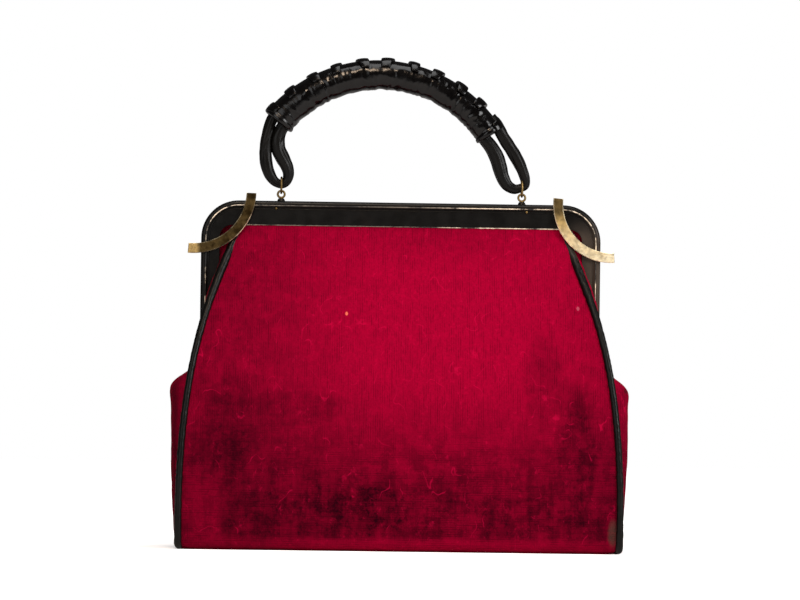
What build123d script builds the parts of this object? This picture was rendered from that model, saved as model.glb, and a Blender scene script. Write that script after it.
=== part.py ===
from build123d import *
import math
import os

# Velvet frame handbag with an arched leather handle. Millimetres, +Z up, the front faces -Y.
# The origin is at the middle of the base, on the surface that the bag stands on.

# Bag body
BASE_HALF_WIDTH = 141.7
NARROWING = 31.7
NARROW_AT = 195.0
NARROW_POWER = 2.75
PANEL_TOP = 207.4
VELVET = 2.0
LINING = 0.8
LINING_GAP = 0.5
PIPING_RADIUS = 2.25
FRONT_LINE = [
    (6.0, PANEL_TOP), (7.2, 200), (16.8, 170), (28.5, 143), (38.6, 107),
    (43.8, 65), (45, 30), (44, 9), (38, 0.05),
]
SIDE_LINE = [
    (130.4, 141), (135.4, 121), (138.0, 113), (142.4, 105), (144.0, 96),
    (144.2, 60), (144.0, 20), (142.6, 5), (136.5, 0.05),
]
WING_THICKNESS = 0.8
# Height, bulge past the piping and the place on the frame leg, from the top of the fold down
WING_ROWS = [
    (192.5, 0.4, 117.8), (180, 0.9, 119.8), (164, 1.3, 122.5), (152, 1.8, 123.0), (140, 2.4, 123.5),
]
WING_SEAM = 0.8
WING_CROWN_SHARE = 0.55
PIPING_HEIGHTS = [191.5, 184, 170, 156, 143, 126, 107, 86, 65, 44, 24, 10, 2.6]
BASE_HALF_X = 135.8
BASE_HALF_Y = 37.6
BASE_CORNER = 6.0
BOARD_THICKNESS = 1.8
BOARD_INSET_X = 1.3
BOARD_INSET_Y = 3.1
LINING_SIDE_TOP = 86.0
LINING_FLAP_HALF_WIDTH = 113.0
LINING_FLAP_TOP = 205.8
LINING_EDGE_INSET = 9.0
LINING_TOP_EDGE_INSET = 6.0
LINING_SIDE_INSET = 4.6
LINING_SIDE_SHORTER = 1.3
LINING_FLOOR = 5.0
LINING_FLOOR_REACH = 0.7

# Frame of two hinged halves
FRAME_HALF_WIDTH = 127.7
FRAME_TOP = 222.0
RAIL_HEIGHT = 15.6
LEG_WIDTH = 11.7
CORNER_RADIUS = 24.0
INNER_RADIUS = 8.0
COVER_FACE = 6.2
COVER_BACK = 0.25
COVER_BOTTOM = 116.0
COVER_WALL = 1.2
CORE_FACE = 3.8
CORE_BACK = 2.2
BEAD_RADIUS = 2.3
BEAD_DEPTH = 4.9
GROOVE_RADIUS = 0.5
GROOVE_STEP = 0.4

# Hinge of the two halves
HINGE_Z = 107.0
PIN_RADIUS = 1.5
PIN_FIT = 0.05
HEAD_RADIUS = 3.0
HEAD_HEIGHT = 1.2
EAR_RADIUS = 5.0
EAR_THICKNESS = 1.6
EAR_WEB_HEIGHT = 13.0
EAR_WEB_ANGLE = 41.0
PIN_END_GAP = 0.15
FRONT_EAR_X = 125.3
BACK_EAR_X = 123.4
TAB_X = 127.15
TAB_WALL_X = 141.4
TAB_TOP = 111.0
TAB_BENDS = (97.0, 88.0)
TAB_BOTTOM = 76.0
TAB_THICKNESS = 1.5
TAB_HALF_WIDTH = 4.5
VISOR_RADIUS = 45.5
VISOR_GAP = 0.25
SPLIT_FLOOR = 120.0

# Brass corner arcs
ARC_WIDTH = 6.3
ARC_THICKNESS = 2.0
ARC_BACK = 7.3
ARC_CHAMFER = 0.35
ARC_STUD_RADIUS = 1.2
ARC_STUD_PLACES = (0.16, 0.84)
LEFT_ARC = {"centre": (-133.0, 228.0), "radius": 37.0, "start": -94.5, "sweep": 92.5}
RIGHT_ARC = {"centre": (134.1, 222.6), "radius": 34.0, "start": 174.0, "sweep": 100.0}

# Handle posts, eyes and rings
POST_X = 77.0
POST_Y = -3.6
POST_RADIUS = 2.6
POST_TOP = 223.7
POST_STEP = 0.5
POST_NECK = 0.9
SHANK_RADIUS = 1.0
SHANK_BOTTOM = 213.0
EYE_RADIUS = 2.2
EYE_WIRE = 0.7
EYE_Z = 226.4
RING_RADIUS = 5.0
RING_WIRE = 0.65
RING_CLEARANCE = 0.1
TACK_RADIUS = 0.9
TACK_STEM = 0.4
TACK_X = 80.1
TACK_Z = 217.2

# Handle
HANDLE_CENTRE = (-14.3, 219.3)
HANDLE_RADIUS = 84.2
SLEEVE_START = 33.4
SLEEVE_END = 141.0
SLEEVE_HALF_HEIGHT = 9.2
SLEEVE_HALF_WIDTH = 7.8
GATHER_DEPTH = 0.75
GATHERS = 19
COLLAR_LENGTH = 3.0
COLLAR_STEP = 0.7
PADDING_HALF_HEIGHT = 7.9
PADDING_HALF_WIDTH = 6.4
STRAND_RADIUS = 3.4
STRAND_OFFSET = 3.6
LACE_COUNT = 11
LACE_LENGTH = 8.0
LACE_WIDTH = 9.0
LACE_HEIGHT = 3.2
LACE_ROUNDING = 0.42
LACE_LEAN = 14.0
LACE_END_ANGLE = 3.0
LOOP_LEAD = 6.0
LOOP_ROUNDING = 0.45

# Spring catch inside the top rail
CATCH_Z = 214.2
CATCH_STEM = 1.7
CATCH_REACH = 3.3
CATCH_BALL = 2.2
SOCKET_RADIUS = 3.0
SOCKET_FRONT = 1.2
SOCKET_RECESS = 5.6
CATCH_FIT = 0.1

EYE_TOP_Z = EYE_Z + EYE_RADIUS
RING_Z = EYE_TOP_Z + RING_RADIUS - EYE_WIRE - RING_WIRE - RING_CLEARANCE
LOOP_Z = RING_Z + RING_RADIUS - RING_WIRE - STRAND_RADIUS - 1.5 * RING_CLEARANCE

# Middle lines of the leather loops below each sleeve end, from the outer strand to the inner
LEFT_LOOP = [
    (-88.6, 253.5), (-86.4, 240.5), (-80.6, LOOP_Z), (-73.4, LOOP_Z), (-70.2, 241.5), (-77.2, 253.5),
]
RIGHT_LOOP = [
    (73.0, 253.8), (80.7, 245.0), (82.2, LOOP_Z + 0.15), (71.4, LOOP_Z - 0.35), (64.6, 237.6),
    (62.4, 247.2), (60.2, 254.0),
]


def save(shape, name):
    shape.label = name
    export_step(shape, f"parts/{name}.step")


def half_width(z):
    """Half width of the front at the outer edge of its piping."""
    return BASE_HALF_WIDTH - NARROWING * (z / NARROW_AT) ** NARROW_POWER


def inset_points(line, inset):
    """Points of a line moved sideways towards the inside of the bag."""
    curve = Spline([Vector(a, b) for a, b in line])
    points = []
    for a, b in line:
        place = curve.param_at_point(Vector(a, b))
        tangent = curve.tangent_at(place)
        points.append((a + tangent.Y * inset, b - tangent.X * inset))
    return points


def sheet_face(line, outer, inner):
    """Section of a sheet that follows a line, between two insets from it."""
    outside = Spline([Vector(a, b) for a, b in inset_points(line, outer)])
    inside = Spline([Vector(a, b) for a, b in inset_points(line, inner)])
    ends = [Line(outside @ 0, inside @ 0), Line(outside @ 1, inside @ 1)]
    return make_face([outside, inside] + ends)


def front_sheet(outer, inner):
    """Sheet along the front of the bag, as wide as the bag and more."""
    face = Plane((0, 0, 0), x_dir=(0, -1, 0), z_dir=(-1, 0, 0)) * sheet_face(FRONT_LINE, outer, inner)
    return extrude(face, amount=BASE_HALF_WIDTH + 5, both=True)


def width_block(inset, top=PANEL_TOP + 2):
    """Block that follows the narrowing width of the front, to trim a sheet with."""
    steps = 8
    heights = [-1 + (top + 1) * i / steps for i in range(steps + 1)]
    right = Spline([Vector(half_width(max(z, 0)) - inset, z) for z in heights])
    left = mirror(right, about=Plane.YZ)
    ends = [Line(right @ 0, left @ 0), Line(right @ 1, left @ 1)]
    return extrude(Plane.XZ * make_face([right, left] + ends), amount=60, both=True)


def depth_block(inset):
    """Block that follows the depth of the bag seen from the side, between two insets of its faces."""
    front = Spline([Vector(a, b) for a, b in inset_points(FRONT_LINE, inset)])
    back = mirror(front, about=Plane.YZ)
    ends = [Line(front @ 0, back @ 0), Line(front @ 1, back @ 1)]
    face = Plane((0, 0, 0), x_dir=(0, -1, 0), z_dir=(-1, 0, 0)) * make_face([front, back] + ends)
    return extrude(face, amount=BASE_HALF_WIDTH + 10, both=True)


def along_x(radius, length, x=0.0, y=0.0, z=0.0):
    return Pos(x, y, z) * Rotation(0, 90, 0) * Cylinder(radius, length)


def along_y(radius, y_low, y_high, x, z):
    return Pos(x, (y_low + y_high) / 2, z) * Rotation(90, 0, 0) * Cylinder(radius, y_high - y_low)


def box_between(low, high):
    size = [b - a for a, b in zip(low, high)]
    middle = [(a + b) / 2 for a, b in zip(low, high)]
    return Pos(*middle) * Box(*size)


def visor(radius):
    return along_x(radius, 2 * BASE_HALF_WIDTH + 40, z=HINGE_Z)


def above_split():
    return box_between((-200, -80, SPLIT_FLOOR), (200, 80, FRAME_TOP))


def upper_part(shape):
    """What rides on a frame half: all outside the round cut about the hinge axis."""
    return (shape & above_split()) - visor(VISOR_RADIUS + VISOR_GAP)


def lower_part(shape):
    """What stays with the base: all inside the same round cut."""
    return shape - (above_split() - visor(VISOR_RADIUS - VISOR_GAP))


def front_panel():
    return front_sheet(0, VELVET) & width_block(2 * PIPING_RADIUS)


def point_at_height(curve, z):
    """Point of a line that runs downwards, at a height."""
    low, high = 0.0, 1.0
    for _ in range(30):
        middle = (low + high) / 2
        if curve.position_at(middle).Y > z:
            low = middle
        else:
            high = middle
    return curve.position_at(low)


def front_depth(z):
    """Depth of the front face at a height, from the line that it follows."""
    return point_at_height(Spline([Vector(a, b) for a, b in FRONT_LINE]), z).X


def piping(side):
    """Round leather piping along one side edge of the front panel, down to the base."""
    curve = Spline([Vector(a, b) for a, b in inset_points(FRONT_LINE, VELVET / 2)])
    centres = []
    for z in PIPING_HEIGHTS:
        depth = point_at_height(curve, z).X
        centres.append(Vector(side * (half_width(z) - PIPING_RADIUS), -depth, z))
    centres[0] -= Vector(0, PIPING_RADIUS - VELVET, 0)
    path = Spline(centres)
    sections = []
    for centre in centres:
        tangent = path.tangent_at(path.param_at_point(centre))
        sections.append(Plane(centre, z_dir=tangent) * Circle(PIPING_RADIUS))
    return loft(sections)


def gusset(side):
    """Velvet side with a round shoulder at the height of the frame hinge."""
    face = Plane.XZ * sheet_face(SIDE_LINE, 0, VELVET)
    sheet = extrude(face, amount=60, both=True)
    sheet = sheet & depth_block(VELVET / 2 + PIPING_RADIUS + 0.1)
    return mirror(sheet, about=Plane.YZ) if side < 0 else sheet


def wing_section(z, bulge, leg_x):
    """Thin section of the cloth between the piping and the front of the frame leg."""
    depth = front_depth(z)
    seam = Vector(half_width(z) - WING_SEAM, -depth + PIPING_RADIUS + WING_SEAM)
    leg = Vector(leg_x, -COVER_FACE - 0.2 - WING_THICKNESS)
    crown_y = seam.Y * WING_CROWN_SHARE + leg.Y * (1 - WING_CROWN_SHARE)
    crown = Vector(half_width(z) + bulge, crown_y)
    across = (leg - seam).normalized()
    inwards = Vector(-across.Y, across.X) * WING_THICKNESS
    points = [seam, crown, leg, leg + inwards, crown + inwards, seam + inwards]
    corners = [(p.X, p.Y, z) for p in points]
    return Wire.make_polygon(corners)


def wing(side):
    """Upper gusset cloth that opens with its frame half."""
    sections = [wing_section(*row) for row in WING_ROWS]
    cloth = Solid.make_loft(sections, ruled=True) - visor(VISOR_RADIUS + VISOR_GAP)
    return mirror(cloth, about=Plane.YZ) if side < 0 else cloth


def front_plane(y):
    """Plane seen from the front, with local x along X and local y along Z."""
    return Plane((0, y, 0), x_dir=(1, 0, 0), z_dir=(0, -1, 0))


def frame_outline(inset, bottom):
    """Upside-down U of the frame, seen from the front."""
    out = FRAME_HALF_WIDTH - inset
    top = FRAME_TOP - inset
    leg = FRAME_HALF_WIDTH - LEG_WIDTH + inset
    rail = FRAME_TOP - RAIL_HEIGHT + inset
    corners = [(-out, bottom), (-out, top), (out, top), (out, bottom),
               (leg, bottom), (leg, rail), (-leg, rail), (-leg, bottom)]
    face = make_face(Polyline(corners, close=True))
    outer = face.vertices().filter_by_position(Axis.Y, top - 0.1, top + 0.1)
    face = fillet(outer, CORNER_RADIUS - inset)
    inner = face.vertices().filter_by_position(Axis.Y, rail - 0.1, rail + 0.1)
    return fillet(inner, INNER_RADIUS + inset)


def plate(face, y_near, y_far):
    """Face seen from the front, thick between two depths towards the front."""
    return Pos(0, -y_near, 0) * extrude(Plane.XZ * face, amount=y_far - y_near)


def ear(x):
    """Hinge ear of a frame half, a round end round the pin hole."""
    side = EAR_RADIUS * math.cos(math.radians(EAR_WEB_ANGLE))
    rise = EAR_RADIUS * math.sin(math.radians(EAR_WEB_ANGLE))
    corners = [(-EAR_RADIUS, 0), (-CORE_FACE, EAR_WEB_HEIGHT), (-CORE_BACK, EAR_WEB_HEIGHT), (side, rise)]
    web = Polyline(corners, close=True)
    shape = make_face(web) + Circle(EAR_RADIUS) - Circle(PIN_RADIUS + PIN_FIT)
    side_plane = Plane((x - EAR_THICKNESS / 2, 0, HINGE_Z), x_dir=(0, 1, 0), z_dir=(1, 0, 0))
    return extrude(side_plane * shape, amount=EAR_THICKNESS)


def frame_core(ear_x):
    """Steel strip inside a frame half, with a hinge ear at the end of each leg."""
    strip = plate(frame_outline(COVER_WALL, COVER_BOTTOM), CORE_BACK, CORE_FACE)
    return strip + ear(ear_x) + ear(-ear_x)


def outer_line(inset, bottom):
    """Line round the outside of the frame, moved inwards."""
    out = FRAME_HALF_WIDTH - inset
    top = FRAME_TOP - inset
    corners = [(-out, bottom), (-out, top), (out, top), (out, bottom)]
    return FilletPolyline(*corners, radius=CORNER_RADIUS - inset)


def round_bar(line, y, radius):
    """Round bar along a line seen from the front, at one depth."""
    path = front_plane(y) * line
    return sweep(Plane(path @ 0, z_dir=path % 0) * Circle(radius), path)


def frame_cover():
    """Leather cover of a frame half, with a round bead along its outer edge and a groove beside it."""
    body = plate(frame_outline(0, COVER_BOTTOM), COVER_BACK, COVER_FACE)
    bead = round_bar(outer_line(BEAD_RADIUS, COVER_BOTTOM), -BEAD_DEPTH, BEAD_RADIUS)
    groove = round_bar(outer_line(2 * BEAD_RADIUS + GROOVE_STEP, COVER_BOTTOM), -COVER_FACE, GROOVE_RADIUS)
    return body + bead - groove


def corner_arc(centre, radius, start, sweep):
    """Flat brass bar bent to a quarter circle, with two studs that hold it to the frame."""
    ring = Circle(radius + ARC_WIDTH / 2) - Circle(radius - ARC_WIDTH / 2)
    reach = 2 * radius
    wedge_points = [(0, 0)]
    for i in range(4):
        angle = math.radians(start + sweep * i / 3)
        wedge_points.append((reach * math.cos(angle), reach * math.sin(angle)))
    bar = Pos(*centre) * (ring & make_face(Polyline(wedge_points, close=True)))
    shape = plate(bar, ARC_BACK, ARC_BACK + ARC_THICKNESS)
    shape = chamfer(shape.faces().sort_by(Axis.Y)[0].edges(), ARC_CHAMFER)
    for share in ARC_STUD_PLACES:
        angle = math.radians(start + sweep * share)
        x = centre[0] + radius * math.cos(angle)
        z = centre[1] + radius * math.sin(angle)
        shape += along_y(ARC_STUD_RADIUS, -ARC_BACK, -CORE_FACE, x, z)
    return shape


def eye(x):
    """Brass eye with its hole along Y, on a shank that goes down into the rail."""
    loop = Pos(x, POST_Y, EYE_Z) * Rotation(90, 0, 0) * Torus(EYE_RADIUS, EYE_WIRE)
    top = EYE_Z - EYE_RADIUS
    shank = Pos(x, POST_Y, (top + SHANK_BOTTOM) / 2) * Cylinder(SHANK_RADIUS, top - SHANK_BOTTOM)
    return loop + shank


def post(x):
    """Small black collar under the eye, waisted like a turned button."""
    foot = [(0, FRAME_TOP), (POST_RADIUS, FRAME_TOP)]
    waist = (POST_RADIUS - POST_STEP, POST_TOP - POST_STEP)
    neck = (POST_RADIUS - POST_NECK, POST_TOP)
    profile = Polyline(foot + [waist, neck, (0, POST_TOP)], close=True)
    solid = revolve(Plane.XZ * make_face(profile), Axis.Z)
    return Pos(x, POST_Y, 0) * solid


def ring(x):
    return Pos(x, POST_Y, RING_Z) * Rotation(0, 90, 0) * Torus(RING_RADIUS, RING_WIRE)


def tack(x):
    head = Pos(x, -COVER_FACE - 0.1, TACK_Z) * Sphere(TACK_RADIUS)
    return head + along_y(TACK_STEM, -COVER_FACE, -CORE_FACE, x, TACK_Z)


def on_arc(radius, angle):
    turn = math.radians(angle)
    return (HANDLE_CENTRE[0] + radius * math.cos(turn), HANDLE_CENTRE[1] + radius * math.sin(turn))


def arc_through(radius, first, last):
    points = [on_arc(radius, first + (last - first) * i / 2) for i in range(3)]
    return ThreePointArc(*points)


def rounded_line(points):
    """Straight runs with the largest round corners that the runs allow."""
    corners = [Vector(*p) for p in points]
    radii = []
    for before, here, after in zip(corners, corners[1:], corners[2:]):
        run_in = here - before
        run_out = after - here
        turn = math.radians(run_in.get_angle(run_out))
        radii.append(LOOP_ROUNDING * min(run_in.length, run_out.length) / math.tan(turn / 2))
    return FilletPolyline(*corners, radius=radii)


def leather_loop(end_angle, side, middle):
    """Line of one end loop, tangent to the outer and the inner strand in the sleeve."""
    turn = math.radians(end_angle)
    step = (-side * math.sin(turn) * LOOP_LEAD, side * math.cos(turn) * LOOP_LEAD)
    outer = on_arc(HANDLE_RADIUS + STRAND_OFFSET, end_angle)
    inner = on_arc(HANDLE_RADIUS - STRAND_OFFSET, end_angle)
    lead_out = (outer[0] + step[0], outer[1] + step[1])
    lead_in = (inner[0] + step[0], inner[1] + step[1])
    return rounded_line([outer, lead_out] + middle + [lead_in, inner])


def handle_cord():
    """One leather tube: two strands through the sleeve and a loop at each end."""
    outer = HANDLE_RADIUS + STRAND_OFFSET
    inner = HANDLE_RADIUS - STRAND_OFFSET
    crown = (SLEEVE_START + SLEEVE_END) / 2
    left_loop = leather_loop(SLEEVE_END, 1, LEFT_LOOP)
    right_loop = leather_loop(SLEEVE_START, -1, RIGHT_LOOP)
    edges = [arc_through(outer, crown, SLEEVE_END)]
    edges += left_loop.edges()
    edges += [arc_through(inner, SLEEVE_END, SLEEVE_START)]
    edges += right_loop.edges()
    edges += [arc_through(outer, SLEEVE_START, crown + 0.2)]
    path = front_plane(POST_Y) * Wire(edges)
    return sweep(Plane(path @ 0, z_dir=path % 0) * Circle(STRAND_RADIUS), path)


def sleeve_plane(angle):
    """Plane across the handle at an angle of its arc, with local Y towards the arc's centre."""
    x, z = on_arc(HANDLE_RADIUS, angle)
    turn = math.radians(angle)
    normal = (-math.sin(turn), 0, math.cos(turn))
    return Plane((x, POST_Y, z), x_dir=(0, 1, 0), z_dir=normal)


def oval(angle, half_width_y, half_height, shift=0.0):
    """Oval wire across the handle. A shift moves it towards the centre of the handle's arc."""
    return (sleeve_plane(angle) * Pos(0, shift) * Ellipse(half_width_y, half_height)).wire()


def gather(first, last, depth):
    """One gather of the sleeve: its underside pulls in between two full ovals."""
    centre = (first + last) / 2
    middle = oval(centre, SLEEVE_HALF_WIDTH - depth / 3, SLEEVE_HALF_HEIGHT - depth / 2, -depth / 2)
    full = [oval(angle, SLEEVE_HALF_WIDTH, SLEEVE_HALF_HEIGHT) for angle in (first, last)]
    return Solid.make_loft([full[0], middle, full[1]], ruled=True)


def handle_sleeve():
    """Leather sleeve gathered along its underside, with a folded rim at each end."""
    collar = math.degrees(COLLAR_LENGTH / HANDLE_RADIUS)
    pitch = (SLEEVE_END - SLEEVE_START - 2 * collar) / GATHERS
    folds = []
    for i in range(GATHERS):
        first = SLEEVE_START + collar + pitch * i
        folds.append(gather(first, first + pitch, GATHER_DEPTH * (1 + 0.5 * math.sin(2.3 * i))))
    rim = [SLEEVE_HALF_WIDTH + COLLAR_STEP, SLEEVE_HALF_HEIGHT + COLLAR_STEP]
    for angle in (SLEEVE_START, SLEEVE_END - collar):
        folds.append(Solid.make_loft([oval(angle, *rim), oval(angle + collar, *rim)]))
    body = folds[0].fuse(*folds[1:])
    return body - padding_volume(SLEEVE_START - 1, SLEEVE_END + 1)


def padding_volume(first, last):
    start = sleeve_plane(first) * Ellipse(PADDING_HALF_WIDTH, PADDING_HALF_HEIGHT)
    path = front_plane(POST_Y) * arc_through(HANDLE_RADIUS, first, last)
    return sweep(start, path)


def handle_padding(cord):
    return padding_volume(SLEEVE_START + 0.7, SLEEVE_END - 0.7) - cord


def handle_lacing(sleeve):
    """Flat thong stitches over the seam along the top of the sleeve."""
    inside = padding_volume(SLEEVE_START - 1, SLEEVE_END + 1)
    stitches = []
    for i in range(LACE_COUNT):
        span = SLEEVE_END - SLEEVE_START - 2 * LACE_END_ANGLE
        angle = SLEEVE_START + LACE_END_ANGLE + span * i / (LACE_COUNT - 1)
        stitch = Box(LACE_WIDTH, LACE_HEIGHT, LACE_LENGTH)
        stitch = fillet(stitch.edges().filter_by(Axis.Z), LACE_HEIGHT * LACE_ROUNDING)
        outwards = -(SLEEVE_HALF_HEIGHT + LACE_HEIGHT * 0.1)
        lean = Rotation(0, LACE_LEAN * (-1) ** i, 0)
        stitches.append(sleeve_plane(angle) * Pos(0, outwards) * lean * stitch - sleeve - inside)
    return Compound(stitches)


def gusset_tab(side):
    """Leather tab from the inside of the gusset to the hinge pin."""
    bends = [(TAB_X, TAB_BENDS[0]), (TAB_WALL_X, TAB_BENDS[1])]
    line = Polyline((TAB_X, TAB_TOP), *bends, (TAB_WALL_X, TAB_BOTTOM))
    path = trace(line, TAB_THICKNESS)
    strap = extrude(Plane.XZ * path, amount=TAB_HALF_WIDTH, both=True)
    strap -= along_x(PIN_RADIUS + PIN_FIT, 20, x=TAB_X, z=HINGE_Z)
    return mirror(strap, about=Plane.YZ) if side < 0 else strap


def hinge_pin(side):
    """Rivet through the gusset tab and both ears, with a head at each end."""
    outer_face = TAB_X + TAB_THICKNESS / 2 + PIN_END_GAP
    inner_face = BACK_EAR_X - EAR_THICKNESS / 2 - PIN_END_GAP
    body = along_x(PIN_RADIUS, outer_face - inner_face + 1, x=(outer_face + inner_face) / 2, z=HINGE_Z)
    body += along_x(HEAD_RADIUS, HEAD_HEIGHT, x=outer_face + HEAD_HEIGHT / 2, z=HINGE_Z)
    body += along_x(HEAD_RADIUS, HEAD_HEIGHT, x=inner_face - HEAD_HEIGHT / 2, z=HINGE_Z)
    return mirror(body, about=Plane.YZ) if side < 0 else body


def base_sheet(half_x, half_y, z_low, z_high):
    """Flat sheet with round corners between two heights."""
    outline = RectangleRounded(2 * half_x, 2 * half_y, BASE_CORNER)
    return Pos(0, 0, z_low) * extrude(outline, amount=z_high - z_low)


def lining_pocket():
    """Cloth lining of the lower bag, with front and back flaps that reach up to the frame."""
    start = VELVET + LINING_GAP
    sheet = front_sheet(start, start + LINING) & width_block(LINING_EDGE_INSET)
    sheet = sheet & box_between((-200, -80, LINING_FLOOR), (200, 0, 200))
    upper_sides = box_between((-200, -80, LINING_SIDE_TOP), (200, 80, 250))
    flap = LINING_FLAP_HALF_WIDTH
    upper_sides -= box_between((-flap, -80, LINING_SIDE_TOP - 1), (flap, 80, 250))
    front = lower_part(sheet) - upper_sides
    section = sheet_face(SIDE_LINE, LINING_SIDE_INSET, LINING_SIDE_INSET + LINING)
    side = extrude(Plane.XZ * section, amount=60, both=True)
    side = side & depth_block(start + LINING_SIDE_SHORTER)
    side = side & box_between((0, -80, LINING_FLOOR), (200, 80, LINING_SIDE_TOP))
    reach = LINING_FLOOR_REACH
    floor = base_sheet(BASE_HALF_X + reach, BASE_HALF_Y + reach, LINING_FLOOR - LINING, LINING_FLOOR + LINING)
    return front + mirror(front, about=Plane.XZ) + side + mirror(side, about=Plane.YZ) + floor


def lining_top():
    """Upper part of the lining's flap, which rides on a frame half."""
    start = VELVET + LINING_GAP
    flap = LINING_FLAP_HALF_WIDTH
    sheet = front_sheet(start, start + LINING) & box_between((-flap, -80, 100), (flap, 0, LINING_FLAP_TOP))
    return upper_part(sheet) & width_block(LINING_TOP_EDGE_INSET)


def catch_stud():
    """Ball on a stem that the front rail carries."""
    stem = along_y(CATCH_STEM, -CORE_BACK, CATCH_REACH, 0, CATCH_Z)
    return stem + Pos(0, CATCH_REACH, CATCH_Z) * Sphere(CATCH_BALL)


def catch_socket():
    """Cup in the back rail that the ball goes into."""
    outer = along_y(SOCKET_RADIUS, SOCKET_FRONT, CORE_FACE, 0, CATCH_Z)
    return outer - along_y(CATCH_BALL + CATCH_FIT, SOCKET_FRONT - 1, CORE_FACE + 1, 0, CATCH_Z)


def build_body():
    tubes = piping(-1) + piping(1)
    low_panel = lower_part(front_panel()) - tubes
    save(low_panel, "front_panel")
    save(mirror(low_panel, about=Plane.XZ), "back_panel")
    for side, word in ((-1, "left"), (1, "right")):
        tube = lower_part(piping(side))
        save(tube, f"front_{word}_piping")
        save(mirror(tube, about=Plane.XZ), f"back_{word}_piping")
        save(gusset(side), f"{word}_gusset")
        save(gusset_tab(side), f"{word}_gusset_tab")
        save(hinge_pin(side), f"{word}_hinge_pin")
    sides = low_panel + mirror(low_panel, about=Plane.XZ)
    save(base_sheet(BASE_HALF_X, BASE_HALF_Y, 0, VELVET) - sides, "base_panel")
    board_top = VELVET + BOARD_THICKNESS
    board = base_sheet(BASE_HALF_X - BOARD_INSET_X, BASE_HALF_Y - BOARD_INSET_Y, VELVET, board_top)
    save(board, "base_board")
    save(lining_pocket(), "lining")


def build_upper_cloth():
    tubes = piping(-1) + piping(1)
    panel = upper_part(front_panel()) - tubes
    save(panel, "front_panel_top")
    save(mirror(panel, about=Plane.XZ), "back_panel_top")
    cloth = lining_top()
    save(cloth, "front_lining_top")
    save(mirror(cloth, about=Plane.XZ), "back_lining_top")
    for side, word in ((-1, "left"), (1, "right")):
        tube = upper_part(piping(side))
        save(tube, f"front_{word}_piping_top")
        save(mirror(tube, about=Plane.XZ), f"back_{word}_piping_top")
        fold = wing(side) - tubes
        save(fold, f"front_{word}_wing")
        save(mirror(fold, about=Plane.XZ), f"back_{word}_wing")
    return panel


def build_frames(panel):
    front_core = frame_core(FRONT_EAR_X)
    back_core = mirror(frame_core(BACK_EAR_X), about=Plane.XZ)
    left_arc = corner_arc(**LEFT_ARC)
    right_arc = corner_arc(**RIGHT_ARC)
    stud = catch_stud()
    socket = catch_socket()
    hollow = plate(frame_outline(COVER_WALL, COVER_BOTTOM - 1), CORE_BACK, CORE_FACE)
    plain_cover = frame_cover() - hollow - panel
    cover = plain_cover - front_core
    back_cover = mirror(plain_cover, about=Plane.XZ) - back_core
    recess = along_y(SOCKET_RADIUS, 0, SOCKET_RECESS, 0, CATCH_Z)
    back_cover -= recess
    back_core -= recess
    cover -= along_y(CATCH_STEM, -CORE_BACK, 0, 0, CATCH_Z)
    cover = cover - left_arc - right_arc
    save(left_arc, "left_corner_arc")
    save(right_arc, "right_corner_arc")
    save(stud, "catch_stud")
    save(socket, "catch_socket")
    save(back_core, "back_frame_core")
    save(back_cover, "back_frame_cover")
    for x, word in ((-POST_X, "left"), (POST_X, "right")):
        brass_eye = eye(x)
        nail = tack(math.copysign(TACK_X, x))
        cover = cover - brass_eye - nail
        front_core -= brass_eye
        save(brass_eye, f"{word}_handle_eye")
        save(post(x) - brass_eye - cover, f"{word}_handle_post")
        save(nail, f"{word}_post_tack")
        save(ring(x), f"{word}_handle_ring")
    save(front_core, "front_frame_core")
    save(cover, "front_frame_cover")


def build_handle():
    cord = handle_cord()
    sleeve = handle_sleeve()
    save(cord, "handle_cord")
    save(sleeve, "handle_sleeve")
    save(handle_padding(cord), "handle_padding")
    save(handle_lacing(sleeve), "handle_lacing")


os.makedirs("parts", exist_ok=True)
build_body()
top_panel = build_upper_cloth()
build_frames(top_panel)
build_handle()
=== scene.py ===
"""Velvet frame handbag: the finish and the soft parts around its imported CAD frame."""

import logging
import math
from dataclasses import dataclass
from enum import Enum
from typing import Callable, Optional, Sequence, Union

import bpy
import numpy as np
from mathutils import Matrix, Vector, noise


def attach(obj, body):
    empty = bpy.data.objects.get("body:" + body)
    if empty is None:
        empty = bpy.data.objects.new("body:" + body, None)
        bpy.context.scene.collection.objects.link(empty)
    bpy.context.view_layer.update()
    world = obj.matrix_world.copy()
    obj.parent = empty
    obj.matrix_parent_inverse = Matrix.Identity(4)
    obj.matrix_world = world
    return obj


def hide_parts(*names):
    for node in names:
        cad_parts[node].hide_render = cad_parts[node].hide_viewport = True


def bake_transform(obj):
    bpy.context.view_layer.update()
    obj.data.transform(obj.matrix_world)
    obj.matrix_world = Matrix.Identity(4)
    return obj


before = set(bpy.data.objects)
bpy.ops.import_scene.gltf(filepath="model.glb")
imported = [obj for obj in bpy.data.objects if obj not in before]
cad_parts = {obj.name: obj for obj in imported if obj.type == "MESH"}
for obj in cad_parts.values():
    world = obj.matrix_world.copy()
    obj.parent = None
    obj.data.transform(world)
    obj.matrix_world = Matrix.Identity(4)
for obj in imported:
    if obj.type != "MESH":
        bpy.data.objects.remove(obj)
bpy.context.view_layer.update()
log = logging.getLogger("handbag")

Socket = bpy.types.NodeSocket
Piece = bpy.types.Object
Placing = Callable[[float, float], Sequence[float]]

MM = 0.001
WELD = 2e-6
SMOOTH_ANGLE = 60.0


class Part(Enum):
    """Base of the sides and faces of the bag."""

    @property
    def word(self) -> str:
        """Name used in the pieces' names."""
        return self.name.lower()


class Side(Part):
    """Left or right of the bag, seen from the front."""

    LEFT = -1
    RIGHT = 1


class Face(Part):
    """Front or back of the bag."""

    FRONT = -1
    BACK = 1

    @property
    def body(self) -> str:
        """CAD body of the frame half on this face."""
        return f"{self.word}_frame"


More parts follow.
